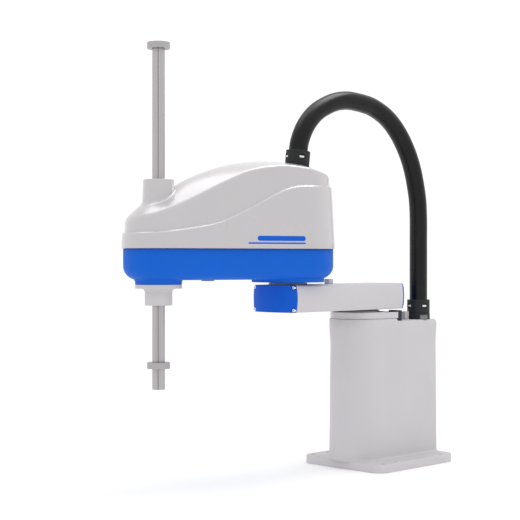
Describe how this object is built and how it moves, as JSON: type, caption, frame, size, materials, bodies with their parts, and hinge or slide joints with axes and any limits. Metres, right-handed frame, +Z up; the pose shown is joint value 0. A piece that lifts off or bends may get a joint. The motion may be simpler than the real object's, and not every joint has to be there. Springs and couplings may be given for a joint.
{
  "type": "scara robot arm",
  "caption": "Floor-bolted SCARA robot arm: square column, slim first arm, covered second arm with an up-down turning shaft, and an arched cable hose.",
  "frame": {"origin": "centre of the four base bolts, on the mounting face under the base plate", "axes": "+X forward from the column towards the stored arm, +Y to the robot's left, +Z up along every joint axis"},
  "size_m": [0.811, 0.2606, 0.879],
  "materials": {
    "white_paint": "satin powder coat",
    "zinc_screw": "bright zinc",
    "belt_rubber": "matt",
    "grey_panel": "fine texture",
    "connector_black": "moulded",
    "nickel_brass": "nickel plated",
    "motor_black": "satin",
    "reducer_steel": "machined",
    "coupling_black": "moulded",
    "grey_plastic": "moulded",
    "hose_rubber": "smooth sheath",
    "ground_steel": "ground",
    "blue_plastic": "satin moulded",
    "dark_steel": "phosphated",
    "blue_paint": "semi gloss",
    "white_plastic": "satin moulded",
    "plain_aluminium": "machined",
    "brake_grey": "satin",
    "bearing_steel": "polished",
    "lamp_green": "clear moulded",
    "button_yellow": "moulded",
    "shaft_steel": "ground",
    "collar_steel": "satin",
    "black_oxide": "black oxide"
  },
  "bodies": {
    "base": {"base_casting": "white_paint", "column_cap": "white_paint", "cap_screws": "zinc_screw", "cap_buffer": "belt_rubber", "rear_panel": "grey_panel", "rear_panel_screws": "zinc_screw", "power_connector": "connector_black", "signal_connector": "connector_black", "air_fittings": "nickel_brass", "hose_clamp_block": "white_paint", "j1_motor": "motor_black", "j1_reducer_ring": "reducer_steel", "lower_hose_coupling": "coupling_black", "coupling_lock_block": "grey_plastic", "hose_lower": "hose_rubber"},
    "j1_rotor": {"j1_motor_shaft": "ground_steel", "j1_wave_generator": "ground_steel"},
    "first_arm": {"beam": "white_paint", "beam_front_cover": "blue_plastic", "beam_rear_cover": "blue_plastic", "beam_cover_screws": "zinc_screw", "j2_stop_block": "white_paint", "j2_reducer_ring": "reducer_steel", "j1_output_hub": "dark_steel", "hose_upper": "hose_rubber"},
    "second_arm": {"arm_casting": "blue_paint", "arm_cover": "white_plastic", "cover_screws": "zinc_screw", "shaft_collar_cover": "white_plastic", "lower_bearing_cover": "white_paint", "bearing_cover_screws": "zinc_screw", "motor_plate": "plain_aluminium", "z_motor": "motor_black", "z_brake": "brake_grey", "roll_motor": "motor_black", "z_belt": "belt_rubber", "roll_belt": "belt_rubber", "ball_nut_bearing": "bearing_steel", "spline_nut_bearing": "bearing_steel", "button_housing": "connector_black", "status_lamp": "lamp_green", "user_connectors": "connector_black", "upper_hose_coupling": "coupling_black", "j2_output_hub": "dark_steel", "j2_motor": "motor_black"},
    "j2_rotor": {"j2_motor_shaft": "ground_steel", "j2_wave_generator": "ground_steel"},
    "ball_nut": {"ball_nut": "ground_steel"},
    "spline_nut": {"spline_nut": "ground_steel"},
    "z_pulley": {"z_motor_pulley": "plain_aluminium"},
    "roll_pulley": {"roll_motor_pulley": "plain_aluminium"},
    "brake_button": {"brake_button": "button_yellow"},
    "shaft": {"spline_shaft": "shaft_steel", "upper_collar": "collar_steel", "lower_collar": "collar_steel", "collar_screws": "black_oxide"}
  },
  "joints": [
    {"name": "j1_turn", "type": "hinge", "parent": "base", "child": "first_arm", "pos_m": [0.062, 0, 0.34], "axis": [0, 0, 1], "range_deg": [-130, 130], "deforming": ["hose_lower", "hose_upper"]},
    {"name": "j2_turn", "type": "hinge", "parent": "first_arm", "child": "second_arm", "pos_m": [0.287, 0, 0.405], "axis": [0, 0, 1], "range_deg": [-114, 142], "deforming": ["hose_upper"]},
    {"name": "roll_turn", "type": "hinge", "parent": "second_arm", "child": "spline_nut", "pos_m": [0.57809, -0.07258, 0.43], "axis": [0, 0, 1], "range_deg": [-360, 360]},
    {"name": "z_slide", "type": "slide", "parent": "spline_nut", "child": "shaft", "axis": [0, 0, 1], "range_m": [-0.195, 0.105]},
    {"name": "ball_nut_spin", "type": "hinge", "parent": "second_arm", "child": "ball_nut", "pos_m": [0.57809, -0.07258, 0.47], "axis": [0, 0, 1], "range_deg": [-1522, 2818]},
    {"name": "z_pulley_spin", "type": "hinge", "parent": "second_arm", "child": "z_pulley", "pos_m": [0.47136, -0.04596, 0.45], "axis": [0, 0, 1], "range_deg": [-3034, 5626]},
    {"name": "roll_pulley_spin", "type": "hinge", "parent": "second_arm", "child": "roll_pulley", "pos_m": [0.38888, -0.0254, 0.44], "axis": [0, 0, 1], "range_deg": [-730, 730]},
    {"name": "j1_rotor_spin", "type": "hinge", "parent": "base", "child": "j1_rotor", "pos_m": [0.062, 0, 0.3], "axis": [0, 0, 1], "range_deg": [-6510, 6510]},
    {"name": "j2_rotor_spin", "type": "hinge", "parent": "second_arm", "child": "j2_rotor", "pos_m": [0.287, 0, 0.4], "axis": [0, 0, 1], "range_deg": [-7260, 5830]},
    {"name": "brake_button_press", "type": "slide", "parent": "second_arm", "child": "brake_button", "axis": [0.1602, 0.9871, 0], "range_m": [0, 0.003], "stiffness_N_per_m": 400, "springref_m": -0.001}
  ],
  "couplings": [
    {"joint": "ball_nut_spin", "follows": "z_slide", "rad_per_m": -251.33},
    {"joint": "z_pulley_spin", "follows": "z_slide", "rad_per_m": -502.65},
    {"joint": "roll_pulley_spin", "follows": "roll_turn", "ratio": 2},
    {"joint": "j1_rotor_spin", "follows": "j1_turn", "ratio": -50},
    {"joint": "j2_rotor_spin", "follows": "j2_turn", "ratio": -51}
  ]
}
